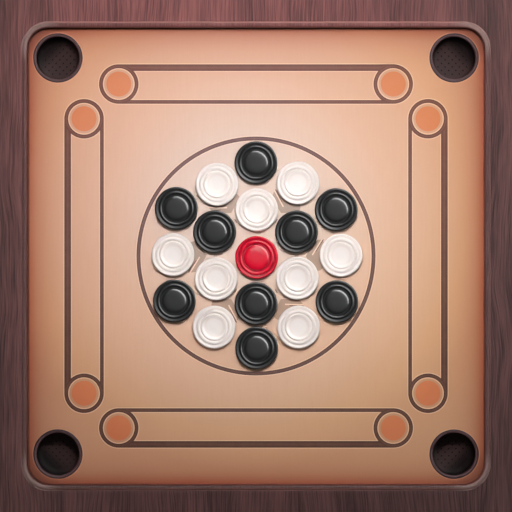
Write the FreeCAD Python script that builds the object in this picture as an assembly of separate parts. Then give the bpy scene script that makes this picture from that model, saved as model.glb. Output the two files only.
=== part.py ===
import FreeCAD, Part

import math
import os

os.makedirs("parts", exist_ok=True)

# A tabletop carrom board, set up for the first strike: a mitred wooden frame round a plywood panel,
# four pockets, and nineteen loose men in the middle. Millimetres, +Z up. The origin is below the
# middle of the board, at the level of the table. Front is -Y, and right is +X.

V = FreeCAD.Vector
CENTRE = V(0, 0, 0)
UP = V(0, 0, 1)

# Plan sizes of the board
FRAME_SIDE = 380.0
PLAY_SIDE = 328.0  # between the inner faces of the beads
PLAY_CORNER_R = 15.0  # of the beads, seen from above
FRAME_CORNER_R = 5.0
PANEL_GROOVE = 6.6  # how far the panel runs into the rails
PANEL_FLOAT = 0.3  # room for the panel at each edge of the groove
POCKET_OFFSET = 142.6  # pocket centres from the board's middle lines

# Levels
FOOT_HEIGHT = 4.0
PANEL_BOTTOM = 28.0
PANEL_THICKNESS = 6.0
PANEL_TOP = PANEL_BOTTOM + PANEL_THICKNESS
RAIL_TOP = PANEL_TOP + 11.0
BEAD_TOP = RAIL_TOP + 0.8

# Bead along the inside of the rails
BEAD_WIDTH = 4.4
BEAD_ROUND = 1.9  # of its edge towards the play
BEAD_BACK_ROUND = 1.4
QUIRK_WIDTH = 0.8  # little groove between bead and rail
QUIRK_DEPTH = 0.9  # below the rail's top
RAIL_ARRIS = 2.0
RAIL_INNER_ARRIS = 0.4

# Mitre keys
KEY_LEG = 28.0
KEY_BOTTOM = 15.0
KEY_THICKNESS = 3.0

# Battens under the panel
BATTEN_WIDTH = 22.0
BATTEN_HEIGHT = 14.0
BATTEN_OFFSET = 70.0
BATTEN_HOUSING = 5.0  # how far each end runs into its rail

# Pockets
POCKET_BORE_R = 15.6
RIM_SLEEVE_R = 17.0
RIM_LIP_R = 17.8
RIM_LIP_THICKNESS = 0.8  # below the panel's surface
RIM_LIP_RISE = 0.7  # above it
RIM_LENGTH = 7.8
RIM_CLEARANCE = 0.05
CUP_WALL = 1.4
CUP_MOUTH_R = 16.6
CUP_FLOOR_R = 16.0
CUP_FLOOR_TOP = 7.2
CUP_FLOOR_THICKNESS = 1.6
CUP_FLOOR_ROUND = 4.0
CUP_FLANGE_R = 23.5
CUP_FLANGE_THICKNESS = 2.0
CUP_SCREW_RING_R = 20.6
DIMPLE_R = 0.6
DIMPLE_DEPTH = 0.8
DIMPLE_STEP = 2.6  # between rows, and half the step along a row
DIMPLED_R = 13.2

# Corner plates
PLATE_THICKNESS = 1.2
PLATE_ARM = 46.0
PLATE_WIDTH = 14.0
PLATE_ROUND = 3.0
PLATE_HOLES = (22.0, 40.0)  # along each arm, from the plate's outer corner

# Feet
FOOT_TOP_R = 9.0
FOOT_BOTTOM_R = 8.0
FOOT_ROUND = 0.8
FOOT_WELL_R = 4.2
FOOT_WELL_DEPTH = 2.4
FOOT_OFFSET = 118.0  # from the middle of its rail

# Men
MAN_R = 15.4
MAN_HEIGHT = 8.0
INNER_RING_R = 33.7
OUTER_POINT_R = 66.6
OUTER_SIDE_R = 60.1

# Screws
SCREW_CLEARANCE = 0.05
PLATE_SCREW = {"head_r": 3.0, "head": 1.6, "shank_r": 1.5, "length": 11.0, "countersunk": True}
BATTEN_SCREW = {"head_r": 3.0, "head": 1.6, "shank_r": 1.5, "length": 18.0, "countersunk": True}
CUP_SCREW = {"head_r": 2.2, "head": 1.1, "shank_r": 1.1, "length": 6.0, "countersunk": True}
FOOT_SCREW = {"head_r": 3.4, "head": 1.8, "shank_r": 1.5, "length": 14.0, "countersunk": False}

# Places that follow from the sizes above
FRAME_HALF = FRAME_SIDE / 2
PLAY_HALF = PLAY_SIDE / 2
RAIL_INNER = PLAY_HALF + BEAD_WIDTH
RAIL_INNER_R = PLAY_CORNER_R + BEAD_WIDTH
RAIL_CENTRE = (RAIL_INNER + FRAME_HALF) / 2
RAIL_BOTTOM = FOOT_HEIGHT
PANEL_HALF = RAIL_INNER + PANEL_GROOVE

# Each named side or corner is the first one turned about the board's middle.
SIDES = {"front": 0, "right": 90, "back": 180, "left": 270}
CORNERS = {"back_right": 0, "back_left": 90, "front_left": 180, "front_right": 270}


def turned(shape, degrees):
    copy = shape.copy()
    copy.rotate(CENTRE, UP, degrees)
    return copy


def moved(shape, x, y, z):
    copy = shape.copy()
    copy.translate(V(x, y, z))
    return copy


def block(low, high):
    low, high = V(*low), V(*high)
    size = high - low
    return Part.makeBox(size.x, size.y, size.z, low)


def rounded_square(half, radius, bottom, top):
    prism = block((-half, -half, bottom), (half, half, top))
    return prism.makeFillet(radius, upright_edges(prism))


def upright_edges(shape):
    return [e for e in shape.Edges if abs(e.tangentAt(e.FirstParameter).z) > 0.99]


def edges_at(shape, level):
    return [e for e in shape.Edges if abs(e.BoundBox.ZMin - level) + abs(e.BoundBox.ZMax - level) < 1e-4]


def how_far_out(point):
    """How far out a point is, square to the sides of the board."""
    return max(abs(point.x), abs(point.y))


def outline(start, *steps):
    """A closed face in the XZ plane. A step is a point (x, z), or a pair of points for an arc: one that
    it passes through and its end."""
    edges = []
    here = V(start[0], 0, start[1])
    for step in steps + (start,):
        if isinstance(step[0], tuple):
            through, end = (V(x, 0, z) for x, z in step)
            edges.append(Part.Arc(here, through, end).toShape())
        else:
            end = V(step[0], 0, step[1])
            edges.append(Part.LineSegment(here, end).toShape())
        here = end
    return Part.Face(Part.Wire(edges))


def turned_solid(face):
    return face.revolve(CENTRE, UP, 360)


# Screws, driven upwards: the head's outer face is at the level they are placed at.


def screw_shape(kind, grow=0.0):
    head_r = kind["head_r"] + grow
    shank_r = kind["shank_r"] + grow
    neck = (shank_r, kind["head"] + grow)
    point = kind["length"] - 2 * kind["shank_r"]
    shoulder = neck if kind["countersunk"] else (head_r, neck[1])
    steps = [(head_r, 0), shoulder]
    if not kind["countersunk"]:
        steps.append(neck)
    steps += [(shank_r, point), (0, kind["length"] + grow)]
    return turned_solid(outline((0, 0), *steps))


def screw(kind):
    """One screw with a cross recess in its head."""
    reach = 0.62 * kind["head_r"]
    width = 0.16 * kind["head_r"]
    depth = 0.7 * kind["head"]
    body = screw_shape(kind)
    along = block((-reach, -width, -1), (reach, width, depth))
    return body.cut(along.fuse(turned(along, 90)))


def screws_at(kind, places):
    """The screws as one group, each turned a little further than the last."""
    turn = 37
    placed = []
    for index, place in enumerate(places):
        placed.append(moved(turned(screw(kind), turn * index), *place))
    return Part.makeCompound(placed)


def screw_holes(kind, places):
    hole = screw_shape(kind, SCREW_CLEARANCE)
    return Part.makeCompound([moved(hole, *place) for place in places])


def at_all_corners(places):
    """The same places at each corner, given for the back right one."""
    spread = []
    for degrees in CORNERS.values():
        for place in places:
            point = turned(Part.Vertex(*place), degrees).Point
            spread.append((point.x, point.y, point.z))
    return spread


PLATE_EDGE = RAIL_CENTRE + PLATE_WIDTH / 2
PLATE_BOTTOM = RAIL_BOTTOM - PLATE_THICKNESS
PLATE_SCREW_PLACES = at_all_corners(
    [(PLATE_EDGE - reach, RAIL_CENTRE, PLATE_BOTTOM) for reach in PLATE_HOLES]
    + [(RAIL_CENTRE, PLATE_EDGE - reach, PLATE_BOTTOM) for reach in PLATE_HOLES]
)
FOOT_PLACES = {
    "back_right": (RAIL_CENTRE, FOOT_OFFSET),
    "back_left": (-RAIL_CENTRE, FOOT_OFFSET),
    "front_left": (-RAIL_CENTRE, -FOOT_OFFSET),
    "front_right": (RAIL_CENTRE, -FOOT_OFFSET),
}
FOOT_SCREW_LEVEL = FOOT_WELL_DEPTH - FOOT_SCREW["head"]
FOOT_SCREW_PLACES = [(x, y, FOOT_SCREW_LEVEL) for x, y in FOOT_PLACES.values()]
BATTEN_SCREW_PLACES = [
    (x, y, PANEL_BOTTOM - BATTEN_HEIGHT)
    for y in (-BATTEN_OFFSET, BATTEN_OFFSET)
    for x in (-120.0, 0.0, 120.0)
]
CUP_SCREW_REACH = CUP_SCREW_RING_R / math.sqrt(2)
CUP_SCREW_PLACES = at_all_corners(
    [
        (POCKET_OFFSET + x, POCKET_OFFSET + y, PANEL_BOTTOM - CUP_FLANGE_THICKNESS)
        for x in (-CUP_SCREW_REACH, CUP_SCREW_REACH)
        for y in (-CUP_SCREW_REACH, CUP_SCREW_REACH)
    ]
)

# The frame


def mitre_key():
    """A thin triangle let into the back right mitre from outside, flush with the rails."""
    corner = V(FRAME_HALF, FRAME_HALF, KEY_BOTTOM)
    points = [corner, corner - V(KEY_LEG, 0, 0), corner - V(0, KEY_LEG, 0), corner]
    triangle = Part.Face(Part.makePolygon(points)).extrude(UP * KEY_THICKNESS)
    return triangle.common(rounded_square(FRAME_HALF, FRAME_CORNER_R, RAIL_BOTTOM, RAIL_TOP))


def batten_blank(middle):
    """A batten with its ends housed in the left and right rails, before it is drilled."""
    end = RAIL_INNER + BATTEN_HOUSING
    low = (-end, middle - BATTEN_WIDTH / 2, PANEL_BOTTOM - BATTEN_HEIGHT)
    return block(low, (end, middle + BATTEN_WIDTH / 2, PANEL_BOTTOM))


def batten(middle):
    return batten_blank(middle).cut(screw_holes(BATTEN_SCREW, BATTEN_SCREW_PLACES))


def frame_block():
    """All four rails in one piece, before the mitres are cut."""
    body = rounded_square(FRAME_HALF, FRAME_CORNER_R, RAIL_BOTTOM, RAIL_TOP)
    body = body.makeFillet(RAIL_ARRIS, edges_at(body, RAIL_TOP) + edges_at(body, RAIL_BOTTOM))
    body = body.cut(rounded_square(RAIL_INNER, RAIL_INNER_R, PANEL_TOP, RAIL_TOP + 1))
    inner = [e for e in edges_at(body, RAIL_TOP) if how_far_out(e.CenterOfMass) < RAIL_INNER + 0.1]
    body = body.makeFillet(RAIL_INNER_ARRIS, inner)
    groove = PANEL_HALF + PANEL_FLOAT
    body = body.cut(block((-groove, -groove, PANEL_BOTTOM), (groove, groove, PANEL_TOP)))
    return body.cut(rounded_square(RAIL_INNER, PLAY_CORNER_R, RAIL_BOTTOM - 1, PANEL_BOTTOM))


def frame_rails():
    """The four rails by name, with every slot and hole that the other pieces need."""
    body = frame_block()
    for degrees in CORNERS.values():
        body = body.cut(turned(mitre_key(), degrees))
    body = body.cut(batten_blank(-BATTEN_OFFSET)).cut(batten_blank(BATTEN_OFFSET))
    body = body.cut(screw_holes(PLATE_SCREW, PLATE_SCREW_PLACES))
    body = body.cut(screw_holes(FOOT_SCREW, FOOT_SCREW_PLACES))
    far = FRAME_SIDE
    points = [CENTRE, V(-far, -far, 0), V(far, -far, 0), CENTRE]
    wedge = Part.Face(Part.makePolygon(points)).extrude(UP * far)
    return {side: body.common(turned(wedge, degrees)) for side, degrees in SIDES.items()}


def bead_section():
    """Across a bead, outwards from its inner face."""
    bend = 1 - math.sqrt(0.5)
    crown_back = BEAD_WIDTH - QUIRK_WIDTH
    return outline(
        (0, PANEL_TOP),
        (0, BEAD_TOP - BEAD_ROUND),
        ((bend * BEAD_ROUND, BEAD_TOP - bend * BEAD_ROUND), (BEAD_ROUND, BEAD_TOP)),
        (crown_back - BEAD_BACK_ROUND, BEAD_TOP),
        (
            (crown_back - bend * BEAD_BACK_ROUND, BEAD_TOP - bend * BEAD_BACK_ROUND),
            (crown_back, BEAD_TOP - BEAD_BACK_ROUND),
        ),
        (crown_back, RAIL_TOP - QUIRK_DEPTH),
        (BEAD_WIDTH, RAIL_TOP - QUIRK_DEPTH),
        (BEAD_WIDTH, PANEL_TOP),
    )


def bead():
    """The straight front bead, between two corner beads."""
    straight = PLAY_HALF - PLAY_CORNER_R
    end = moved(turned(bead_section(), -90), -straight, -PLAY_HALF, 0)
    return end.extrude(V(2 * straight, 0, 0))


def corner_bead():
    """The quarter round that joins the straight beads at the back right."""
    straight = PLAY_HALF - PLAY_CORNER_R
    end = moved(bead_section(), PLAY_CORNER_R, 0, 0)
    return moved(end.revolve(CENTRE, UP, 90), straight, straight, 0)


# The panel and its pockets


def playing_panel():
    body = block((-PANEL_HALF, -PANEL_HALF, PANEL_BOTTOM), (PANEL_HALF, PANEL_HALF, PANEL_TOP))
    hole = Part.makeCylinder(RIM_SLEEVE_R, 2 * PANEL_THICKNESS, V(0, 0, PANEL_BOTTOM - 1))
    seat = Part.makeCylinder(RIM_LIP_R, PANEL_THICKNESS, V(0, 0, PANEL_TOP - RIM_LIP_THICKNESS))
    opening = moved(hole.fuse(seat), POCKET_OFFSET, POCKET_OFFSET, 0)
    for degrees in CORNERS.values():
        body = body.cut(turned(opening, degrees))
    body = body.cut(screw_holes(BATTEN_SCREW, BATTEN_SCREW_PLACES))
    return body.cut(screw_holes(CUP_SCREW, CUP_SCREW_PLACES))


def pocket_rim():
    """A flanged sleeve with a low rounded lip, let into the panel from above."""
    sleeve_r = RIM_SLEEVE_R - RIM_CLEARANCE
    lip_r = RIM_LIP_R - RIM_CLEARANCE
    seat = PANEL_TOP - RIM_LIP_THICKNESS
    crown = PANEL_TOP + RIM_LIP_RISE
    face = outline(
        (POCKET_BORE_R, PANEL_TOP - RIM_LENGTH),
        (POCKET_BORE_R, seat),
        ((POCKET_BORE_R + 0.15, crown - 0.25), (POCKET_BORE_R + 0.6, crown)),
        (lip_r - 0.6, crown),
        ((lip_r - 0.15, crown - 0.25), (lip_r, PANEL_TOP)),
        (lip_r, seat),
        (sleeve_r, seat),
        (sleeve_r, PANEL_TOP - RIM_LENGTH),
    )
    return moved(turned_solid(face), POCKET_OFFSET, POCKET_OFFSET, 0)


def dimples():
    """What staggered rows of small pits take out of the cup's floor and the start of its rounded edge."""
    pit = Part.makeCylinder(DIMPLE_R, 2 * CUP_FLOOR_THICKNESS, V(0, 0, CUP_FLOOR_TOP - DIMPLE_DEPTH))
    rows = int(DIMPLED_R / DIMPLE_STEP)
    pits = []
    for row in range(-rows, rows + 1):
        for column in range(-rows, rows + 1):
            x, y = column * DIMPLE_STEP, row * DIMPLE_STEP
            if (row + column) % 2 == 0 and math.hypot(x, y) < DIMPLED_R:
                pits.append(moved(pit, x, y, 0))
    return Part.makeCompound(pits)


def pocket_cup():
    """A cup with a dimpled floor and a flange, screwed up against the underside of the panel."""
    flange = PANEL_BOTTOM - CUP_FLANGE_THICKNESS
    under = CUP_FLOOR_TOP - CUP_FLOOR_THICKNESS
    bend = 1 - math.sqrt(0.5)
    inner_round = CUP_FLOOR_ROUND
    outer_round = CUP_FLOOR_ROUND + CUP_WALL
    outer_r = CUP_FLOOR_R + CUP_WALL
    face = outline(
        (0, under),
        (outer_r - outer_round, under),
        ((outer_r - bend * outer_round, under + bend * outer_round), (outer_r, under + outer_round)),
        (CUP_MOUTH_R + CUP_WALL, flange),
        (CUP_FLANGE_R, flange),
        (CUP_FLANGE_R, PANEL_BOTTOM),
        (RIM_SLEEVE_R, PANEL_BOTTOM),
        (RIM_SLEEVE_R, flange),
        (CUP_MOUTH_R, flange),
        (CUP_FLOOR_R, CUP_FLOOR_TOP + inner_round),
        (
            (CUP_FLOOR_R - bend * inner_round, CUP_FLOOR_TOP + bend * inner_round),
            (CUP_FLOOR_R - inner_round, CUP_FLOOR_TOP),
        ),
        (0, CUP_FLOOR_TOP),
    )
    body = turned_solid(face).cut(dimples())
    body = moved(body, POCKET_OFFSET, POCKET_OFFSET, 0)
    return body.cut(screw_holes(CUP_SCREW, CUP_SCREW_PLACES))


# What is under the board


def corner_plate():
    """An L of flat steel across the back right mitre."""
    low, high = PLATE_BOTTOM, RAIL_BOTTOM
    start, inner = PLATE_EDGE - PLATE_ARM, PLATE_EDGE - PLATE_WIDTH
    arm = block((start, inner, low), (PLATE_EDGE, PLATE_EDGE, high))
    other_arm = block((inner, start, low), (PLATE_EDGE, PLATE_EDGE, high))
    body = arm.fuse(other_arm).removeSplitter()
    inside = V(inner, inner, (low + high) / 2)
    corners = [e for e in upright_edges(body) if e.CenterOfMass.distanceToPoint(inside) > 1]
    body = body.makeFillet(PLATE_ROUND, corners)
    return body.cut(screw_holes(PLATE_SCREW, PLATE_SCREW_PLACES))


def foot():
    """A rubber foot with a well for its screw's head."""
    hole_r = FOOT_SCREW["shank_r"] + SCREW_CLEARANCE
    bend = 1 - math.sqrt(0.5)
    face = outline(
        (FOOT_WELL_R, 0),
        (FOOT_BOTTOM_R - FOOT_ROUND, 0),
        ((FOOT_BOTTOM_R - bend * FOOT_ROUND, bend * FOOT_ROUND), (FOOT_BOTTOM_R, FOOT_ROUND)),
        (FOOT_TOP_R, FOOT_HEIGHT),
        (hole_r, FOOT_HEIGHT),
        (hole_r, FOOT_WELL_DEPTH),
        (FOOT_WELL_R, FOOT_WELL_DEPTH),
    )
    return turned_solid(face)


# The men


def man(centre_steps):
    """A turned man. centre_steps draw its middle, from its axis out to the groove before the ridge."""
    top = MAN_HEIGHT
    face = outline(
        (0, 0.5),
        *centre_steps,
        (9.9, top - 1.4),
        (10.3, top - 1.0),
        ((11.4, top - 0.4), (12.5, top - 1.0)),
        (12.8, top - 1.3),
        (13.1, top - 1.3),
        (14.3, top - 0.8),
        ((MAN_R - 0.3, top - 1.05), (MAN_R, top - 1.95)),
        (MAN_R, 1.8),
        ((MAN_R - 0.5, 0.5), (MAN_R - 1.6, 0)),
        (9.0, 0),
        (8.4, 0.5),
    )
    return turned_solid(face)


def boss_man():
    """A man with a raised, slightly domed boss in the middle of its face."""
    top = MAN_HEIGHT
    dome = ((5.0, top - 0.07), (7.0, top - 0.29))
    shoulder = ((7.8, top - 0.48), (8.6, top - 0.81))
    return man([(0, top), (3.0, top), dome, shoulder, (9.0, top - 1.4)])


def dish_man():
    """A man with a shallow round dish in the middle of its face."""
    top = MAN_HEIGHT
    floor = top - 1.7
    bowl = ((4.2, floor + 0.05), (5.9, floor + 0.21))
    wall = ((7.1, floor + 0.48), (8.1, floor + 0.9))
    return man([(0, floor), (2.5, floor), bowl, wall, (8.5, top - 0.65), (9.2, top - 0.7)])


# The set-up round the queen: three rings of six men, 60 degrees apart. The men of a ring are given in
# turn to the right from its first direction, by colour and by how far a hand left each off its place.
W, B = "white", "black"
RINGS = (
    (
        INNER_RING_R,
        90,
        (W, B, W, B, W, B),
        ((0.5, -0.5), (0, 0.5), (0.5, 1), (0, -0.5), (0.5, 0.5), (-0.5, 0.5)),
    ),
    (
        OUTER_POINT_R,
        90,
        (B, B, B, B, B, B),
        ((0, 0.5), (0, 0), (0.5, 0.5), (0.5, 0.5), (-1, 1), (0.5, 1)),
    ),
    (
        OUTER_SIDE_R,
        60,
        (W, W, W, W, W, W),
        ((0, 0.5), (1, 0.5), (0.5, 1), (0, 1), (0.5, 1), (2, -0.5)),
    ),
)
QUEEN_PLACE = (0.5, -1.0)


def men_in_place():
    """Every man by name, on the panel."""
    shapes = {W: dish_man(), B: boss_man()}
    counts = {W: 0, B: 0}
    placed = {"queen": moved(boss_man(), *QUEEN_PLACE, PANEL_TOP)}
    for radius, first, colours, nudges in RINGS:
        for step, (colour, nudge) in enumerate(zip(colours, nudges)):
            direction = math.radians(first - 60 * step)
            x = radius * math.cos(direction) + nudge[0]
            y = radius * math.sin(direction) + nudge[1]
            counts[colour] += 1
            placed[f"{colour}_man_{counts[colour]}"] = moved(shapes[colour], x, y, PANEL_TOP)
    return placed


def whole_board():
    """Every piece by name, where it is on the finished board."""
    pieces = {"playing_panel": playing_panel()}
    pieces.update((f"frame_rail_{side}", rail) for side, rail in frame_rails().items())
    pieces.update((f"bead_{side}", turned(bead(), degrees)) for side, degrees in SIDES.items())
    pieces["batten_front"] = batten(-BATTEN_OFFSET)
    pieces["batten_back"] = batten(BATTEN_OFFSET)
    corner_shapes = {
        "mitre_key": mitre_key(),
        "corner_bead": corner_bead(),
        "pocket_rim": pocket_rim(),
        "pocket_cup": pocket_cup(),
        "corner_plate": corner_plate(),
    }
    for corner, degrees in CORNERS.items():
        for kind, shape in corner_shapes.items():
            pieces[f"{kind}_{corner}"] = turned(shape, degrees)
        pieces[f"foot_{corner}"] = moved(foot(), *FOOT_PLACES[corner], 0)
    pieces["corner_plate_screws"] = screws_at(PLATE_SCREW, PLATE_SCREW_PLACES)
    pieces["foot_screws"] = screws_at(FOOT_SCREW, FOOT_SCREW_PLACES)
    pieces["batten_screws"] = screws_at(BATTEN_SCREW, BATTEN_SCREW_PLACES)
    pieces["pocket_cup_screws"] = screws_at(CUP_SCREW, CUP_SCREW_PLACES)
    pieces.update(men_in_place())
    return pieces


for name, shape in whole_board().items():
    shape.exportStep(f"parts/{name}.step")
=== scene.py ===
import math

import bmesh
import bpy
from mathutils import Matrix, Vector


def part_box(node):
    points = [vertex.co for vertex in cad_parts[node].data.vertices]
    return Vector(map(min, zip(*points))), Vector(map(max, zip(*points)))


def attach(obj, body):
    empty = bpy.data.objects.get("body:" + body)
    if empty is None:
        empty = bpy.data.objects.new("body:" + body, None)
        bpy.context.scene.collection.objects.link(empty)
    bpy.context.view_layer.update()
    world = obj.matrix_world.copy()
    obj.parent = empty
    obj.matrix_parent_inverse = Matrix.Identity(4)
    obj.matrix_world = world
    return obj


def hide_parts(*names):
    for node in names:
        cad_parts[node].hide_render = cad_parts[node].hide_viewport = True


# A tabletop carrom board, set up for the first strike and seen from straight above. The beads, pocket
# rims and men are made again here with smoother surfaces, and the printed markings are added. Every
# other piece is the CAD's own mesh with a better material. Metres, +X right, +Y back, +Z up.

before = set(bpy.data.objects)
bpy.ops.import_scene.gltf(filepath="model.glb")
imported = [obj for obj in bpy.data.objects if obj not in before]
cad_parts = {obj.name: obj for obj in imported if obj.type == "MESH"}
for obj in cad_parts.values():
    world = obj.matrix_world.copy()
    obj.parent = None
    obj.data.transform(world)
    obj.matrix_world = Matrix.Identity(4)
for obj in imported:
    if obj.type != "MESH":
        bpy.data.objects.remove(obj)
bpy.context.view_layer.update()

MM = 0.001
BOARD = "board"
SIDES = ("back", "left", "front", "right")
CORNERS = ("back_right", "back_left", "front_left", "front_right")
CIRCLE_STEPS = 128
ARC_STEPS = 10  # of each arc in a section

# Levels
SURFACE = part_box("playing_panel")[1].z
RAIL_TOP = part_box("frame_rail_back")[1].z
BEAD_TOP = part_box("bead_back")[1].z
CUP_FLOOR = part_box("pocket_cup_back_right")[0].z + 1.6 * MM

# Beads, and the play inside them
BEAD_WIDTH = 4.4 * MM
BEAD_ROUND = 1.9 * MM  # of the edge towards the play
BEAD_BACK_ROUND = 1.4 * MM
QUIRK_WIDTH = 0.8 * MM  # the little groove between bead and rail
QUIRK_DEPTH = 0.9 * MM
PLAY_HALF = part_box("bead_back")[1].y - BEAD_WIDTH
PLAY_CORNER_R = 15 * MM
STRAIGHT = PLAY_HALF - PLAY_CORNER_R  # from the middle to where the bends begin
BEND_STEPS = 24

# Pockets
POCKET_OFFSET = sum(corner.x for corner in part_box("pocket_rim_back_right")) / 2  # its middle, on X and Y
RIM_BORE_R = 15.6 * MM
RIM_SLEEVE_R = 16.95 * MM
RIM_LIP_R = 17.75 * MM
RIM_RISE = 0.7 * MM  # over the panel
RIM_LIP_THICKNESS = 0.8 * MM  # below the panel's surface
RIM_LENGTH = 7.8 * MM  # below the panel's surface
RIM_EDGE = 0.6 * MM  # the width of its rounded edges

# Men: (radius, height) points in millimetres, where a pair of points is an arc through the first
BOSS = (
    (0, 8.0),
    (3.0, 8.0),
    ((5.0, 7.93), (7.0, 7.71)),
    ((7.8, 7.52), (8.6, 7.19)),
    (9.0, 6.6),
)
DISH = (
    (0, 6.3),
    (2.5, 6.3),
    ((4.2, 6.35), (5.9, 6.51)),
    ((7.1, 6.78), (8.1, 7.2)),
    (8.5, 7.35),
    (9.2, 7.3),
)
MAN_RING = ((9.9, 6.6), (10.3, 7.0), ((11.4, 7.6), (12.5, 7.0)), (12.8, 6.7))
MAN_BAND = ((13.1, 6.7), (14.3, 7.2), ((15.1, 6.95), (15.4, 6.05)))
MAN_BASE = ((15.4, 1.8), ((14.9, 0.5), (13.8, 0)), (9.0, 0), (8.4, 0.5), (0, 0.5))
MEN_OF_A_COLOUR = 9

# Printed markings
BASE_CIRCLE_ALONG = 98.8 * MM  # from the middle of its side
BASE_CIRCLE_OUT = 123.8 * MM  # from the middle of the board
BASE_CIRCLE_R = 14.2 * MM
BASE_LINE_WIDE = 4.8 * MM
BASE_LINE_NARROW = 2.7 * MM
BASE_LINE_END_STEPS = 8
DISC_R = 9.0 * MM
DISC_BORDER_R = 10.3 * MM
CENTRE_CIRCLE_R = 86.0 * MM
RING_LINE = 2.8 * MM
KEYLINE = 0.65 * MM  # the pale edge on both sides of a line
CORE = 0.33  # the lighter middle of a line, as a share of its width
POCKET_HALO_R = 18.5 * MM
POCKET_HALO_GAP = 0.1 * MM

# The star in the centre circle: outlines of one arm, (along, across) in millimetres
STAR_ARMS = 6
STAR_ARM = (
    (35.8, 0),
    (42.3, -11.3),
    (46.2, -10.3),
    (49, -8),
    (50.5, 0),
    (49.5, 9),
    (47.6, 12),
    (42.3, 11.3),
)
STAR_FOLD = ((40.1, 0.9), (40.9, 0.4), (47.9, 11.7), (47.1, 12.2))
STAR_FOLD_SHADE = ((42.5, 3.2), (43.1, 2.9), (49.0, 12.0), (47.9, 11.7))
STAR_TIP = ((27.8, -0.3), (30.6, -0.3), (30.6, 0.3), (27.8, 0.3))

# Levels of the ink's layers
KEYLINE_INK = SURFACE + 0.02 * MM
FIGURE_INK = SURFACE + 0.03 * MM
LINE_INK = SURFACE + 0.05 * MM
RING_INK = SURFACE + 0.07 * MM
OVERPRINT = 0.01 * MM  # of one ink on another

# The panel's paint
PALE_MIDDLE = (-0.008, 0.032, 0)  # its palest place, set towards the back as painted light
PAINT_REACH = 0.2  # from there to the end of the stops
PAINT_STOPS = ((0.2, "ceb8b0"), (0.5, "cfa793"), (0.65, "cda189"), (0.8, "ca9877"), (0.93, "c18c6d"))
RED_BAND_HALVES = 7.5 * MM  # the red-brown band along the beads halves in this distance

# The frame's painted light: a reddish pool at the middle of its back and painted shade at the middle of its
# front. Place along Y, reach and colour
FRAME_PAINTED_LIGHT = ((0.18, 0.26, (1.75, 1.25, 1.25)), (-0.18, 0.19, (0.86, 0.8, 0.8)))

# Camera
CAMERA_HEIGHT = 3.0  # over the playing surface
VIEW_SIDE = 0.3686  # how much of the playing surface the picture takes in

# Lights: places are from the middle of the playing surface, and spreads are in degrees
KEY = {
    "place": (0.03, 0.31, 1.1),
    "aim": (0.03, 0.1, 0),
    "size": (0.4, 0.28),
    "power": 1.3,
    "spread": 50,
    "glossy": False,
}
GLINT = {
    "place": (0.8, 0.88, 1.6),
    "aim": (0, 0, 0),
    "size": (3.6, 0.36),
    "power": 115.0,
    "diffuse": False,
}
SHEEN = {
    "place": (0.3, 0.33, 2.4),
    "aim": (0.3, 0.33, 0),
    "size": (2.2, 2.2),
    "power": 3.3,
    "diffuse": False,
}

# The studio round them
WORLD_COLOUR = (1.0, 0.97, 0.95, 1)
WORLD_PALEST = (0.3, 0.33, 1)  # the direction where it is palest
WORLD_LOW = 0.08
WORLD_HIGH = 0.26
FLOOR_SIDE = 8
FLOOR_COLOUR = (0.78, 0.77, 0.75, 1)

# The sockets of a Mix node that mix colours
MIX_INPUTS = (0, 6, 7)
MIX_OUTPUT = 2


# Materials


def tint(code):
    """A colour written as six hex digits, as the linear colour that a shader takes."""
    channels = [int(code[i : i + 2], 16) / 255 for i in (0, 2, 4)]
    return tuple(c / 12.92 if c <= 0.04045 else ((c + 0.055) / 1.055) ** 2.4 for c in channels) + (1.0,)


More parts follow.
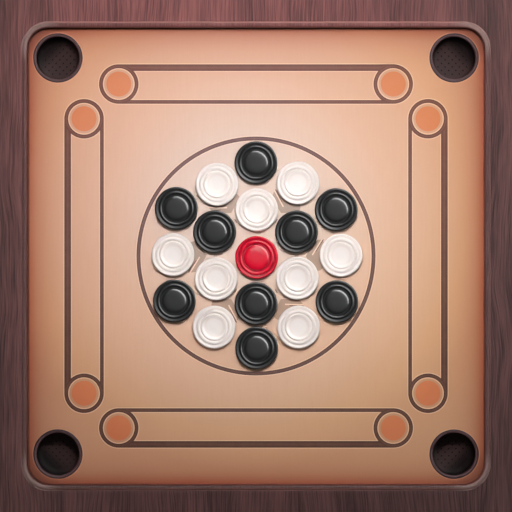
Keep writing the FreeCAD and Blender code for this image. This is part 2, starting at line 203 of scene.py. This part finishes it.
class Shader:
    """One material, and short calls for the nodes that feed its Principled BSDF."""

    def __init__(self, name, inputs):
        self.material = bpy.data.materials.new(name)
        self.material.use_nodes = True
        self.tree = self.material.node_tree
        self.bsdf = self.tree.nodes["Principled BSDF"]
        for socket, value in inputs.items():
            self.feed(self.bsdf.inputs[socket], value)

    def feed(self, socket, value):
        if isinstance(value, bpy.types.NodeSocket):
            self.tree.links.new(value, socket)
        else:
            socket.default_value = value

    def node(self, kind, inputs=(), **settings):
        made = self.tree.nodes.new(kind)
        for key, value in settings.items():
            setattr(made, key, value)
        for socket, value in dict(inputs).items():
            self.feed(made.inputs[socket], value)
        return made

    def place(self, scale=(1, 1, 1)):
        """Places in the row frame, scaled."""
        where = self.node("ShaderNodeTexCoord").outputs["Object"]
        return self.node("ShaderNodeMapping", {"Vector": where, "Scale": scale}).outputs["Vector"]

    def flat_place(self):
        """Places as seen from above, at no height."""
        return self.vector_math("MULTIPLY", self.place(), (1, 1, 0))

    def mirrored_place(self):
        """Flat places with every quarter of the board folded onto the back right one."""
        return self.vector_math("ABSOLUTE", self.flat_place())

    def part(self, axis, vector=None):
        """One coordinate of a vector, or else of the place."""
        vector = self.place() if vector is None else vector
        return self.node("ShaderNodeSeparateXYZ", {0: vector}).outputs[axis]

    def noise(self, vector, scale, detail=3.0, roughness=0.55, distortion=0.0):
        inputs = {"Vector": vector, "Scale": scale, "Detail": detail}
        inputs.update({"Roughness": roughness, "Distortion": distortion})
        return self.node("ShaderNodeTexNoise", inputs).outputs["Fac"]

    def math(self, operation, first, second=0.0, third=0.0):
        return self.node("ShaderNodeMath", {0: first, 1: second, 2: third}, operation=operation).outputs[0]

    def vector_math(self, operation, first, second=(0, 0, 0), output="Vector"):
        return self.node("ShaderNodeVectorMath", {0: first, 1: second}, operation=operation).outputs[output]

    def distance(self, vector, point):
        return self.vector_math("DISTANCE", vector, point, output="Value")

    def towards(self, direction):
        """How far a place is from the middle in a direction."""
        return self.vector_math("DOT_PRODUCT", self.place(), direction, output="Value")

    def spread(self, value, low, high, out_low=0.0, out_high=1.0, smooth=True):
        """value from low..high carried to out_low..out_high, and held there beyond."""
        inputs = {"Value": value, "From Min": low, "From Max": high, "To Min": out_low, "To Max": out_high}
        kind = "SMOOTHSTEP" if smooth else "LINEAR"
        return self.node("ShaderNodeMapRange", inputs, interpolation_type=kind).outputs["Result"]

    def mix(self, factor, first, second, blend="MIX"):
        made = self.node("ShaderNodeMix", data_type="RGBA", blend_type=blend)
        for socket, value in zip(MIX_INPUTS, (factor, first, second)):
            self.feed(made.inputs[socket], value)
        return made.outputs[MIX_OUTPUT]

    def stained(self, colour, amount, stain):
        """A colour multiplied by a stain of (red, green, blue), as far as amount says."""
        return self.mix(amount, colour, (*stain, 1), "MULTIPLY")

    def ramp(self, value, stops):
        """The colour at a value from 0 to 1, from (value, six hex digits) stops."""
        made = self.node("ShaderNodeValToRGB", {"Fac": value})
        elements = made.color_ramp.elements
        while len(elements) < len(stops):
            elements.new(0.5)
        for element, (place, code) in zip(elements, stops):
            element.position = place
            element.color = tint(code)
        return made.outputs["Color"]

    def bump(self, height, depth, strength):
        inputs = {"Height": height, "Distance": depth, "Strength": strength}
        self.feed(self.bsdf.inputs["Normal"], self.node("ShaderNodeBump", inputs).outputs["Normal"])

    def colour(self, value):
        self.feed(self.bsdf.inputs["Base Color"], value)

    def roughness(self, value):
        self.feed(self.bsdf.inputs["Roughness"], value)


def grain_tone(shader, downward):
    """Fine streaks that run front to back on every top face, as a tone and as a relief. downward says
    how fast the grain changes going down a side face: 1 is as fast as across it."""
    below_top = shader.vector_math("SUBTRACT", shader.place(), (0, 0, RAIL_TOP))
    grain = shader.vector_math("MULTIPLY", below_top, (1, 0.02, downward))
    drift = shader.noise(shader.place((10, 8, 0)), 1.0, 2)
    wander = shader.node("ShaderNodeCombineXYZ", {"X": shader.math("MULTIPLY", drift, 0.02)})
    grain = shader.vector_math("ADD", grain, wander.outputs[0])
    bands = shader.noise(grain, 60, 2, 0.5)
    streaks = shader.noise(grain, 950, 3, 0.6)
    pores = shader.noise(grain, 2000, 2, 0.5)
    tone = shader.math("MULTIPLY_ADD", bands, 0.4, shader.math("MULTIPLY", streaks, 0.6))
    return shader.math("MULTIPLY_ADD", pores, 0.4, tone), shader.math("ADD", streaks, pores)


def wood_tone_and_painted_light(shader, wood, left, right):
    """The wood's tone by place: left and right say how pale it is there. A painted reddish pool of light
    lies in the middle of the back and painted shade in the middle of the front."""
    sides = shader.spread(shader.part("X"), -0.17, 0.17)
    sides = shader.mix(sides, (left, left, left, 1), (right, right, right, 1))
    wood = shader.mix(1.0, wood, sides, "MULTIPLY")
    # Painted light: redder and paler in the middle of the back; painted shade in the middle of the front
    for middle, reach, stain in FRAME_PAINTED_LIGHT:
        distance = shader.distance(shader.flat_place(), (0, middle, 0))
        wood = shader.stained(wood, shader.spread(distance, 0.06, reach, 1.0, 0.0), stain)
    return wood


def frame_wood(name, downward):
    """Dark brown stained wood, with painted light in the middle of its back and painted shade in the middle
    of its front.
    """
    shader = Shader(name, {"Specular IOR Level": 0.08})
    tone, relief = grain_tone(shader, downward)
    wood = shader.mix(shader.spread(tone, 0.5, 0.9), tint("392524"), tint("6f4b49"))
    shader.colour(wood_tone_and_painted_light(shader, wood, 0.97, 0.73))
    shader.roughness(shader.spread(relief, 0.7, 1.3, 0.42, 0.5))
    shader.bump(relief, 0.03 * MM, 0.4)
    return shader.material


def inside_play(shader):
    """How far inside the beads' rounded square a place is; below zero on the beads themselves."""
    past = shader.vector_math("SUBTRACT", shader.mirrored_place(), (STRAIGHT, STRAIGHT, 0))
    outside = shader.vector_math("LENGTH", shader.vector_math("MAXIMUM", past), output="Value")
    larger = shader.math("MAXIMUM", shader.part("X", past), shader.part("Y", past))
    reach = shader.math("ADD", outside, shader.math("MINIMUM", larger, 0.0))
    return shader.math("SUBTRACT", PLAY_CORNER_R, reach)


def in_deep_shade(shader):
    """How much painted shadow falls in the seam between bead and panel: darkest along the back, less along
    the left, and not at all along the other two."""
    back = shader.spread(shader.part("Y"), 0.145, 0.158, 0.0, 0.9)
    left = shader.spread(shader.part("X"), -0.158, -0.145, 0.6, 0.0)
    return shader.math("MAXIMUM", back, left)


def painted_edge_highlight(shader, out):
    """How much painted highlight lies on the beads' outer edge, out being how far from the inner face: most
    along the back, less along the front and least along the sides."""
    start = shader.spread(shader.part("Y"), -0.1, 0.1, 1.9 * MM, 2.8 * MM)
    edge_highlight = shader.spread(out, start, shader.math("ADD", start, 0.7 * MM))
    most = shader.spread(shader.part("Y"), -0.1, 0.1, 0.4, 1.0)
    by_side = shader.spread(shader.part("Y", shader.mirrored_place()), 0.14, 0.17, 0.2, most)
    return shader.math("MULTIPLY", edge_highlight, by_side)


def painted_bend_highlight(shader):
    """How much painted highlight lies in and near the beads' four bends."""
    mirrored = shader.mirrored_place()
    smaller = shader.math("MINIMUM", shader.part("X", mirrored), shader.part("Y", mirrored))
    return shader.spread(smaller, STRAIGHT - 12 * MM, STRAIGHT + 6 * MM, 0.0, 0.55)


def bead_wood():
    """The frame's wood with its painted light by place, painted highlights in the bends and along the outer
    edge, and a painted reddish reflection of the panel on its inner face, which has painted shadow towards
    the panel."""
    shader = Shader("bead_wood", {"Specular IOR Level": 0.08})
    tone, relief = grain_tone(shader, 0.4)
    wood = shader.mix(shader.spread(tone, 0.5, 0.9), tint("4b3635"), tint("674b49"))
    wood = wood_tone_and_painted_light(shader, wood, 0.8, 1.0)
    out = shader.math("MULTIPLY", inside_play(shader), -1.0)
    # Painted highlights along the outer edge and in the bends
    wood = shader.mix(painted_edge_highlight(shader, out), wood, tint("9d6c65"))
    wood = shader.mix(painted_bend_highlight(shader), wood, tint("98807a"))
    level = shader.part("Z")
    # A painted reddish reflection of the panel on the inner face
    inner = shader.spread(out, 1.2 * MM, 2 * MM, 1.0, 0.0)
    red = shader.math("MULTIPLY", inner, shader.spread(level, BEAD_TOP - 0.3 * MM, BEAD_TOP - 1.2 * MM))
    wood = shader.mix(red, wood, tint("703a34"))
    # Painted shadow low on the inner face, next to the panel, along the back and left
    shadowed_foot = shader.spread(level, BEAD_TOP - 2 * MM, BEAD_TOP - 4 * MM)
    wood = shader.mix(shader.math("MULTIPLY", shadowed_foot, in_deep_shade(shader)), wood, tint("0c0505"))
    shader.colour(wood)
    shader.roughness(shader.spread(relief, 0.7, 1.3, 0.38, 0.46))
    shader.bump(relief, 0.02 * MM, 0.4)
    return shader.material


def past_pocket(shader):
    """How far a place lies from its pocket's middle towards the corner, along both sides together."""
    mirrored = shader.mirrored_place()
    both = shader.math("ADD", shader.part("X", mirrored), shader.part("Y", mirrored))
    return shader.math("SUBTRACT", both, 2 * POCKET_OFFSET)


def panel_paint(shader):
    """The panel's own colour: pale in the middle, tan further out, red-brown along the beads and darkest
    past the pockets, where that darkening is painted shade. Its palest place is set towards the back as
    painted light, and it is darker along the front as painted shade. It is a little pinker at the back
    left, yellower at the front right and darker at the back right, with painted shadow in the seam along
    the back and left beads."""
    from_pale = shader.distance(shader.flat_place(), PALE_MIDDLE)
    paint = shader.ramp(shader.math("DIVIDE", from_pale, PAINT_REACH), PAINT_STOPS)
    front_right = shader.spread(shader.towards((0.7, -0.7, 0)), -0.2, 0.2, smooth=False)
    cast = shader.mix(front_right, (0.99, 0.93, 0.91, 1), (1.05, 1.12, 1.01, 1))
    paint = shader.mix(1.0, paint, cast, "MULTIPLY")
    back_right = shader.spread(shader.towards((0.7, 0.7, 0)), 0.02, 0.17)
    paint = shader.stained(paint, back_right, (0.94, 0.92, 0.92))
    # Painted shade: darker along the front
    front = shader.spread(shader.part("Y"), -0.04, -0.13)
    paint = shader.stained(paint, front, (0.9, 0.93, 0.98))
    cloud = shader.noise(shader.place(), 14, 3)
    for along in ("X", "Y"):
        depth = shader.math("SUBTRACT", PLAY_HALF - 1.5 * MM, shader.part(along, shader.mirrored_place()))
        depth = shader.math("MULTIPLY_ADD", cloud, 3 * MM, depth)
        red = shader.math("POWER", 0.5, shader.math("DIVIDE", depth, RED_BAND_HALVES))
        paint = shader.stained(paint, red, (0.57, 0.27, 0.23))
    # Painted shade in the corners past the pockets
    corner = shader.spread(past_pocket(shader), 12 * MM, 32 * MM)
    paint = shader.stained(paint, corner, (0.72, 0.7, 0.76))
    # Painted shadow in the seam next to the back and left beads
    seam = shader.spread(inside_play(shader), 0.4 * MM, 1.3 * MM, 1.0, 0.0)
    return shader.mix(shader.math("MULTIPLY", seam, in_deep_shade(shader)), paint, tint("200c08"))


def panel_lacquer():
    """Smooth satin lacquer over a fine-grained panel."""
    shader = Shader("panel_lacquer", {"Specular IOR Level": 0.08})
    fibres = shader.noise(shader.place((1, 0.06, 1)), 900, 2)
    shown = shader.spread(fibres, 0.3, 0.7, 0.0, 0.04)
    shader.colour(shader.mix(shown, panel_paint(shader), tint("a8714f")))
    shader.roughness(shader.spread(fibres, 0.3, 0.7, 0.44, 0.5))
    shader.bump(fibres, 0.01 * MM, 0.2)
    return shader.material


def ink(name, stain, cover=1.0, blend="MULTIPLY", front=None):
    """Thin screen-printed ink: it lets the panel's own colour through, and is a little uneven. It can be
    another stain towards the front of the board."""
    shader = Shader(name, {"Specular IOR Level": 0.08})
    patchy = shader.noise(shader.place(), 160, 4)
    forwards = shader.spread(shader.part("Y"), 0.13, -0.06, smooth=False)
    stain = shader.mix(forwards, (*stain, 1), (*(front or stain), 1))
    cover = shader.spread(patchy, 0.3, 0.7, cover - 0.03, cover)
    shader.colour(shader.mix(cover, panel_paint(shader), stain, blend))
    shader.roughness(shader.spread(patchy, 0.3, 0.7, 0.42, 0.52))
    return shader.material


def foot_rubber():
    """Dull black rubber with a fine moulded texture."""
    shader = Shader("foot_rubber", {"Specular IOR Level": 0.5})
    fine = shader.noise(shader.place(), 1200, 3)
    broad = shader.noise(shader.place(), 40, 2)
    shader.colour(shader.mix(shader.spread(broad, 0.3, 0.7), tint("1b1b1c"), tint("242424")))
    shader.roughness(shader.spread(fine, 0.3, 0.7, 0.71, 0.81))
    shader.bump(fine, 0.05 * MM, 0.4)
    return shader.material


def polished_plastic(name, face, groove, roughness, specular):
    """A man's plastic, of another tone in its turned grooves, where it is painted shade."""
    shader = Shader(name, {"Specular IOR Level": specular})
    level = shader.math("SUBTRACT", shader.part("Z"), SURFACE)
    # Painted shade in the turned grooves
    low = shader.spread(level, 7.15 * MM, 6.75 * MM)
    low = shader.math("MULTIPLY", low, shader.spread(level, 6.45 * MM, 6.58 * MM))
    shader.colour(shader.mix(low, tint(face), tint(groove)))
    broad = shader.noise(shader.place(), 60, 2)
    shader.roughness(shader.spread(broad, 0.3, 0.7, roughness, roughness + 0.02))
    return shader.material


def rim_plastic():
    """Satin brown plastic, darker towards the outside of the rim as painted shade."""
    shader = Shader("rim_plastic", {"Specular IOR Level": 0.12})
    radius = shader.distance(shader.mirrored_place(), (POCKET_OFFSET, POCKET_OFFSET, 0))
    shader.colour(shader.mix(shader.spread(radius, 16 * MM, 17.5 * MM), tint("573c3e"), tint("33252b")))
    fine = shader.noise(shader.place(), 900, 3)
    shader.roughness(shader.spread(fine, 0.3, 0.7, 0.36, 0.44))
    return shader.material


def cup_plastic():
    """Fine-textured black plastic, lighter brown towards the middle of the board and darker towards the
    corner as painted light and shade, with painted shade in the pits of its floor."""
    shader = Shader("cup_plastic", {"Specular IOR Level": 0.1})
    # Painted light towards the middle of the board, painted shade towards the corner
    painted_light_to_middle = shader.spread(past_pocket(shader), 0, 16 * MM, 1.0, 0.1)
    # Painted shade in the pits of the floor
    pits = shader.spread(shader.part("Z"), CUP_FLOOR - 0.1 * MM, CUP_FLOOR - 0.4 * MM, 0.0, 0.8)
    shader.colour(shader.mix(pits, shader.mix(painted_light_to_middle, tint("120c0c"), tint("392928")), tint("060404")))
    fine = shader.noise(shader.place(), 700, 3)
    shader.roughness(shader.spread(fine, 0.3, 0.7, 0.6, 0.72))
    shader.bump(fine, 0.03 * MM, 0.4)
    return shader.material


def planed_wood(name, dark, light):
    """Bare wood with its grain along X."""
    shader = Shader(name, {"Specular IOR Level": 0.25})
    grain = shader.place((0.05, 1, 1))
    rings = shader.noise(grain, 120, 4, 0.6, 0.4)
    pores = shader.noise(grain, 900, 2)
    tone = shader.math("MULTIPLY_ADD", pores, 0.3, rings)
    shader.colour(shader.mix(shader.spread(tone, 0.45, 0.85), tint(dark), tint(light)))
    shader.roughness(shader.spread(pores, 0.3, 0.7, 0.6, 0.75))
    shader.bump(pores, 0.05 * MM, 0.5)
    return shader.material


def plated_steel(name, base, dull, stretch):
    """Zinc-plated steel, brushed along X if stretch is small."""
    shader = Shader(name, {"Metallic": 1.0})
    brushed = shader.noise(shader.place((stretch, 1, 1)), 1400, 3)
    spangle = shader.noise(shader.place(), 180, 3)
    shader.colour(shader.mix(shader.spread(spangle, 0.35, 0.65), tint(base), tint(dull)))
    shader.roughness(shader.spread(brushed, 0.3, 0.7, 0.28, 0.45))
    shader.bump(brushed, 0.01 * MM, 0.4)
    return shader.material


materials = {
    "frame_sides": frame_wood("frame_wood_sides", 1.0),
    "frame_ends": frame_wood("frame_wood_ends", 0.05),
    "bead": bead_wood(),
    "panel": panel_lacquer(),
    "batten": planed_wood("batten_wood", "8d6a48", "b48f66"),
    "key": planed_wood("key_wood", "6a452c", "8a6040"),
    "rim": rim_plastic(),
    "cup": cup_plastic(),
    "rubber": foot_rubber(),
    "plate": plated_steel("plate_steel", "b4b6ba", "9c9ea3", 0.1),
    "screw": plated_steel("screw_steel", "c2bfb6", "a5a29a", 1.0),
    "black": polished_plastic("man_black", "151617", "040505", 0.28, 0.52),
    "white": polished_plastic("man_white", "ddd3ce", "dacdc7", 0.21, 0.4),
    "red": polished_plastic("man_red", "c80026", "98001c", 0.21, 0.3),
    "line": ink("print_brown", (0.25, 0.175, 0.2), front=(0.16, 0.135, 0.165)),
    "core": ink("print_brown_light", (0.31, 0.22, 0.25), front=(0.215, 0.175, 0.215)),
    "keyline": ink("print_pale", (0.95, 0.66, 0.46), cover=0.33, blend="MIX"),
    "halo": ink("print_pale_halo", (0.88, 0.42, 0.25), cover=0.2, blend="MIX"),
    "disc": ink("print_red", (0.96, 0.57, 0.375), front=(1.06, 0.605, 0.44)),
    "border": ink("print_tan", (0.88, 0.88, 0.88)),
    "figure": ink("print_grey", (0.58, 0.55, 0.53)),
}


# Outlines and meshes


def circle(centre, radius):
    """Points round a circle."""
    turns = [2 * math.pi * i / CIRCLE_STEPS for i in range(CIRCLE_STEPS)]
    return [(centre[0] + radius * math.cos(a), centre[1] + radius * math.sin(a)) for a in turns]


def quarter_turned(point, quarters):
    """A point turned anticlockwise by quarters about the middle of the board."""
    x, y = point
    for _ in range(quarters):
        x, y = -y, x
    return x, y


def middle_of(node):
    """The middle of a node's box, seen from above."""
    low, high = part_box(node)
    return ((low + high) / 2).xy


def circle_centre(a, b, c):
    """The centre of the circle through three points, given as complex numbers."""
    b, c = b - a, c - a
    scale = 2 * (b.real * c.imag - b.imag * c.real)
    x = (c.imag * abs(b) ** 2 - b.imag * abs(c) ** 2) / scale
    y = (b.real * abs(c) ** 2 - c.real * abs(b) ** 2) / scale
    return a + complex(x, y)


def turn_between(first, second):
    """The angle from one direction to another, from -pi to pi."""
    turn = second * first.conjugate()
    return math.atan2(turn.imag, turn.real)


def arc_through(start, through, end):
    """Points of the arc from start to end, without start, that passes through a third point."""
    a, b, c = (complex(*p) for p in (start, through, end))
    middle = circle_centre(a, b, c)
    radius = abs(a - middle)
    first = math.atan2((a - middle).imag, (a - middle).real)
    sweep = turn_between(a - middle, b - middle) + turn_between(b - middle, c - middle)
    points = []
    for i in range(1, ARC_STEPS + 1):
        angle = first + sweep * i / ARC_STEPS
        points.append((middle.real + radius * math.cos(angle), middle.imag + radius * math.sin(angle)))
    return points


def outline(start, *steps):
    """Points of a section: a step is a point, or a pair of points for an arc through the first."""
    points = [start]
    for step in steps:
        if isinstance(step[0], tuple):
            points += arc_through(points[-1], step[0], step[1])
        else:
            points.append(step)
    return points


def bridge(shape, here, there):
    """Faces between two closed loops of vertices, either of which may be a single point."""
    count = max(len(here), len(there))
    for i in range(count):
        j = (i + 1) % count
        corners = [here[i % len(here)], here[j % len(here)], there[j % len(there)], there[i % len(there)]]
        shape.faces.new(list(dict.fromkeys(corners)))


def add_slab(shape, corners, top):
    """A flat closed slab on the panel over an outline of (x, y) corners."""
    low = [shape.verts.new((x, y, SURFACE)) for x, y in corners]
    high = [shape.verts.new((x, y, top)) for x, y in corners]
    shape.faces.new(low)
    shape.faces.new(high)
    bridge(shape, low, high)


def add_ring(shape, centre, inner, outer, top):
    """A flat closed ring on the panel."""
    loops = []
    for radius, level in ((inner, SURFACE), (outer, SURFACE), (outer, top), (inner, top)):
        loops.append([shape.verts.new((x, y, level)) for x, y in circle(centre, radius)])
    for k in range(len(loops)):
        bridge(shape, loops[k], loops[(k + 1) % len(loops)])


def new_piece(name, shape, material, body=BOARD, smooth=False):
    """A piece that rides on a body, from a bmesh that is used up."""
    bmesh.ops.recalc_face_normals(shape, faces=shape.faces)
    mesh = bpy.data.meshes.new(name)
    shape.to_mesh(mesh)
    shape.free()
    mesh.materials.append(materials[material])
    if smooth:
        mesh.polygons.foreach_set("use_smooth", [True] * len(mesh.polygons))
        mesh.set_sharp_from_angle(angle=math.radians(40))
    piece = bpy.data.objects.new(name, mesh)
    bpy.context.scene.collection.objects.link(piece)
    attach(piece, body)
    return piece


def lathe(name, section, centre, material, body):
    """A smooth turned piece: a section of (radius, height) points about an upright axis at centre. The
    section is a closed loop, or else runs from the axis to the axis."""
    shape = bmesh.new()
    loops = []
    for radius, height in section:
        ring = circle(centre, radius) if radius > 0 else [centre]
        loops.append([shape.verts.new((x, y, height)) for x, y in ring])
    closed = len(loops[0]) > 1
    for k in range(len(loops) if closed else len(loops) - 1):
        bridge(shape, loops[k], loops[(k + 1) % len(loops)])
    return new_piece(name, shape, material, body, smooth=True)


# CAD nodes that stay, with better materials


def finish_node(node, material):
    """Puts a material in every slot of a CAD node."""
    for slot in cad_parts[node].material_slots:
        slot.material = materials[material]


finish_node("playing_panel", "panel")
for side in SIDES:
    finish_node(f"frame_rail_{side}", "frame_ends" if side in ("front", "back") else "frame_sides")
for side in ("front", "back"):
    finish_node(f"batten_{side}", "batten")
for corner in CORNERS:
    finish_node(f"pocket_cup_{corner}", "cup")
    finish_node(f"mitre_key_{corner}", "key")
    finish_node(f"corner_plate_{corner}", "plate")
    finish_node(f"foot_{corner}", "rubber")
for group in ("corner_plate_screws", "foot_screws", "batten_screws", "pocket_cup_screws"):
    finish_node(group, "screw")


# Beads, swept round the play


def bead_section():
    """(distance from the inner face, height) points of the bead. The middle of a quarter round lies bend
    times its radius in from the two lines that it joins."""
    bend = 1 - math.sqrt(0.5)
    crown_back = BEAD_WIDTH - QUIRK_WIDTH
    quirk = RAIL_TOP - QUIRK_DEPTH
    return outline(
        (0, SURFACE),
        (0, BEAD_TOP - BEAD_ROUND),
        ((bend * BEAD_ROUND, BEAD_TOP - bend * BEAD_ROUND), (BEAD_ROUND, BEAD_TOP)),
        (crown_back - BEAD_BACK_ROUND, BEAD_TOP),
        (
            (crown_back - bend * BEAD_BACK_ROUND, BEAD_TOP - bend * BEAD_BACK_ROUND),
            (crown_back, BEAD_TOP - BEAD_BACK_ROUND),
        ),
        (crown_back, quirk),
        (BEAD_WIDTH, quirk),
        (BEAD_WIDTH, SURFACE),
    )


def swept_bead(name, path, quarters):
    """A bead along a path of points and outward directions, turned by quarters about the middle."""
    shape = bmesh.new()
    loops = []
    for (x, y), angle in path:
        loop = []
        for out, height in bead_section():
            reach = PLAY_CORNER_R + out
            point = (x + reach * math.cos(angle), y + reach * math.sin(angle))
            loop.append(shape.verts.new((*quarter_turned(point, quarters), height)))
        loops.append(loop)
    for here, there in zip(loops, loops[1:]):
        bridge(shape, here, there)
    shape.faces.new(loops[0])
    shape.faces.new(loops[-1])
    piece = new_piece(f"{name}_shaped", shape, "bead", smooth=True)
    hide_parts(name)


BACK_RUN = [((x, STRAIGHT), math.pi / 2) for x in (STRAIGHT, -STRAIGHT)]
BACK_RIGHT_BEND = [((STRAIGHT, STRAIGHT), math.pi / 2 * i / BEND_STEPS) for i in range(BEND_STEPS + 1)]
for quarters, (side, corner) in enumerate(zip(SIDES, CORNERS)):
    swept_bead(f"bead_{side}", BACK_RUN, quarters)
    swept_bead(f"corner_bead_{corner}", BACK_RIGHT_BEND, quarters)


# Pocket rims


def rim_section():
    """(radius, height) points of a pocket's rim: a low lip on the panel over a longer sleeve."""
    crown = SURFACE + RIM_RISE
    shoulder = crown - 0.25 * MM
    seat = SURFACE - RIM_LIP_THICKNESS
    bottom = SURFACE - RIM_LENGTH
    return outline(
        (RIM_BORE_R, bottom),
        (RIM_BORE_R, seat),
        ((RIM_BORE_R + RIM_EDGE / 4, shoulder), (RIM_BORE_R + RIM_EDGE, crown)),
        (RIM_LIP_R - RIM_EDGE, crown),
        ((RIM_LIP_R - RIM_EDGE / 4, shoulder), (RIM_LIP_R, SURFACE)),
        (RIM_LIP_R, seat),
        (RIM_SLEEVE_R, seat),
        (RIM_SLEEVE_R, bottom),
    )


for corner in CORNERS:
    node = f"pocket_rim_{corner}"
    rim = lathe(f"{node}_shaped", rim_section(), middle_of(node), "rim", BOARD)
    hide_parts(node)


# Men


def make_man(node, face, material):
    """One man, turned again in place of its CAD node and riding on the same body."""
    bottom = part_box(node)[0].z
    section = outline(*face, *MAN_RING, *MAN_BAND, *MAN_BASE)
    section = [(radius * MM, bottom + height * MM) for radius, height in section]
    man = lathe(f"{node}_turned", section, middle_of(node), material, node)
    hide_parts(node)


for number in range(1, MEN_OF_A_COLOUR + 1):
    make_man(f"black_man_{number}", BOSS, "black")
    make_man(f"white_man_{number}", DISH, "white")
make_man("queen", BOSS, "red")


# Printed markings: base lines and circles, the centre circle, and a ring of pale ink round each pocket


def base_line(near, far, ring_r, quarters):
    """The outline of one straight line of a base-line pair, between the heights near and far from the
    circles' centre line. Its ends follow the circles, so that they go under the circles' own line."""
    ends = []
    for i in range(BASE_LINE_END_STEPS + 1):
        height = near + (far - near) * i / BASE_LINE_END_STEPS
        dip = math.sqrt(max(ring_r**2 - height**2, 0.0))
        ends.append((BASE_CIRCLE_ALONG - dip, BASE_CIRCLE_OUT + height))
    points = ends + [(-x, y) for x, y in reversed(ends)]
    return [quarter_turned(point, quarters) for point in points]


def core_of(low, high):
    """The lighter middle of a line from low to high."""
    margin = (high - low) * (1 - CORE) / 2
    return low + margin, high - margin


BASE_CIRCLES = []
for quarters in range(4):
    for along in (-BASE_CIRCLE_ALONG, BASE_CIRCLE_ALONG):
        BASE_CIRCLES.append(quarter_turned((along, BASE_CIRCLE_OUT), quarters))
BASE_LINES = (
    (BASE_CIRCLE_R - BASE_LINE_WIDE, BASE_CIRCLE_R),
    (-BASE_CIRCLE_R, BASE_LINE_NARROW - BASE_CIRCLE_R),
)
RING_MIDDLE_R = BASE_CIRCLE_R - RING_LINE / 2

lines, cores, keylines, halos = bmesh.new(), bmesh.new(), bmesh.new(), bmesh.new()
for quarters in range(4):
    for near, far in BASE_LINES:
        add_slab(lines, base_line(near, far, RING_MIDDLE_R, quarters), LINE_INK)
        add_slab(cores, base_line(*core_of(near, far), RING_MIDDLE_R, quarters), LINE_INK + OVERPRINT)
        edged = base_line(near - KEYLINE, far + KEYLINE, BASE_CIRCLE_R, quarters)
        add_slab(keylines, edged, KEYLINE_INK)
for centre, outer in [(centre, BASE_CIRCLE_R) for centre in BASE_CIRCLES] + [((0, 0), CENTRE_CIRCLE_R)]:
    inner = outer - RING_LINE
    add_ring(lines, centre, inner, outer, RING_INK)
    add_ring(cores, centre, *core_of(inner, outer), RING_INK + OVERPRINT)
    add_ring(keylines, centre, inner - KEYLINE, outer + KEYLINE, KEYLINE_INK)
for corner in CORNERS:
    centre = middle_of(f"pocket_rim_{corner}")
    add_ring(halos, centre, RIM_LIP_R + POCKET_HALO_GAP, POCKET_HALO_R, KEYLINE_INK)
new_piece("print_lines", lines, "line")
new_piece("print_line_cores", cores, "core")
new_piece("print_keylines", keylines, "keyline")
new_piece("print_pocket_halos", halos, "halo")

discs, borders = bmesh.new(), bmesh.new()
for centre in BASE_CIRCLES:
    add_slab(discs, circle(centre, DISC_R), LINE_INK)
    add_ring(borders, centre, DISC_R, DISC_BORDER_R, FIGURE_INK)
new_piece("print_discs", discs, "disc")
new_piece("print_disc_borders", borders, "border")


# The star in the centre circle


def on_arm(points, step):
    """(along, across) points in millimetres, put on one arm of the star."""
    angle = 2 * math.pi * step / STAR_ARMS
    cos, sin = math.cos(angle), math.sin(angle)
    return [((x * cos - y * sin) * MM, (x * sin + y * cos) * MM) for x, y in points]


arms, folds, shades = bmesh.new(), bmesh.new(), bmesh.new()
for step in range(STAR_ARMS):
    add_slab(arms, on_arm(STAR_ARM, step), FIGURE_INK)
    add_slab(folds, on_arm(STAR_FOLD, step), LINE_INK)
    add_slab(shades, on_arm(STAR_FOLD_SHADE, step), FIGURE_INK + OVERPRINT)
    add_slab(shades, on_arm(STAR_TIP, step), LINE_INK)
new_piece("print_star_arms", arms, "figure")
new_piece("print_star_folds", folds, "keyline")
new_piece("print_star_shades", shades, "core")


# Floor, light and camera


def make_floor():
    """A plain pale table, which is stage and not part of the board."""
    bpy.ops.mesh.primitive_plane_add(size=FLOOR_SIDE)
    floor = bpy.context.object
    floor.name = "floor"
    shader = Shader("floor", {"Base Color": FLOOR_COLOUR, "Roughness": 0.8})
    floor.data.materials.append(shader.material)


def make_light(name, place, aim, size, power, spread=180, diffuse=True, glossy=True):
    """An oval light, turned to the place that it aims at."""
    lamp = bpy.data.lights.new(name, "AREA")
    lamp.shape = "ELLIPSE"
    lamp.size, lamp.size_y = size
    lamp.energy = power
    lamp.spread = math.radians(spread)
    light = bpy.data.objects.new(name, lamp)
    light.location = Vector(place) + Vector((0, 0, SURFACE))
    light.rotation_euler = (Vector(aim) - Vector(place)).to_track_quat("-Z", "Y").to_euler()
    light.visible_camera = False
    light.visible_diffuse = diffuse
    light.visible_glossy = glossy
    bpy.context.scene.collection.objects.link(light)


def make_world():
    """A dim studio: palest overhead on the glint's side, darker towards the floor."""
    world = bpy.data.worlds.new("studio")
    world.use_nodes = True
    nodes, links = world.node_tree.nodes, world.node_tree.links
    direction = nodes.new("ShaderNodeTexCoord").outputs["Generated"]
    towards = nodes.new("ShaderNodeVectorMath")
    towards.operation = "DOT_PRODUCT"
    links.new(direction, towards.inputs[0])
    towards.inputs[1].default_value = Vector(WORLD_PALEST).normalized()
    ramp = nodes.new("ShaderNodeMapRange")
    links.new(towards.outputs["Value"], ramp.inputs["Value"])
    ramp.inputs["From Min"].default_value = 0.2
    ramp.inputs["To Min"].default_value = WORLD_LOW
    ramp.inputs["To Max"].default_value = WORLD_HIGH
    links.new(ramp.outputs["Result"], nodes["Background"].inputs["Strength"])
    nodes["Background"].inputs["Color"].default_value = WORLD_COLOUR
    bpy.context.scene.world = world


def make_camera():
    """Straight above the middle of the board."""
    camera = bpy.data.cameras.new("camera")
    camera.lens = camera.sensor_width * CAMERA_HEIGHT / VIEW_SIDE
    holder = bpy.data.objects.new("camera", camera)
    holder.location = (0, 0, SURFACE + CAMERA_HEIGHT)
    bpy.context.scene.collection.objects.link(holder)
    bpy.context.scene.camera = holder


make_floor()
make_world()
make_light("key", **KEY)
make_light("glint", **GLINT)
make_light("sheen", **SHEEN)
make_camera()
bpy.context.scene.view_settings.view_transform = "Standard"
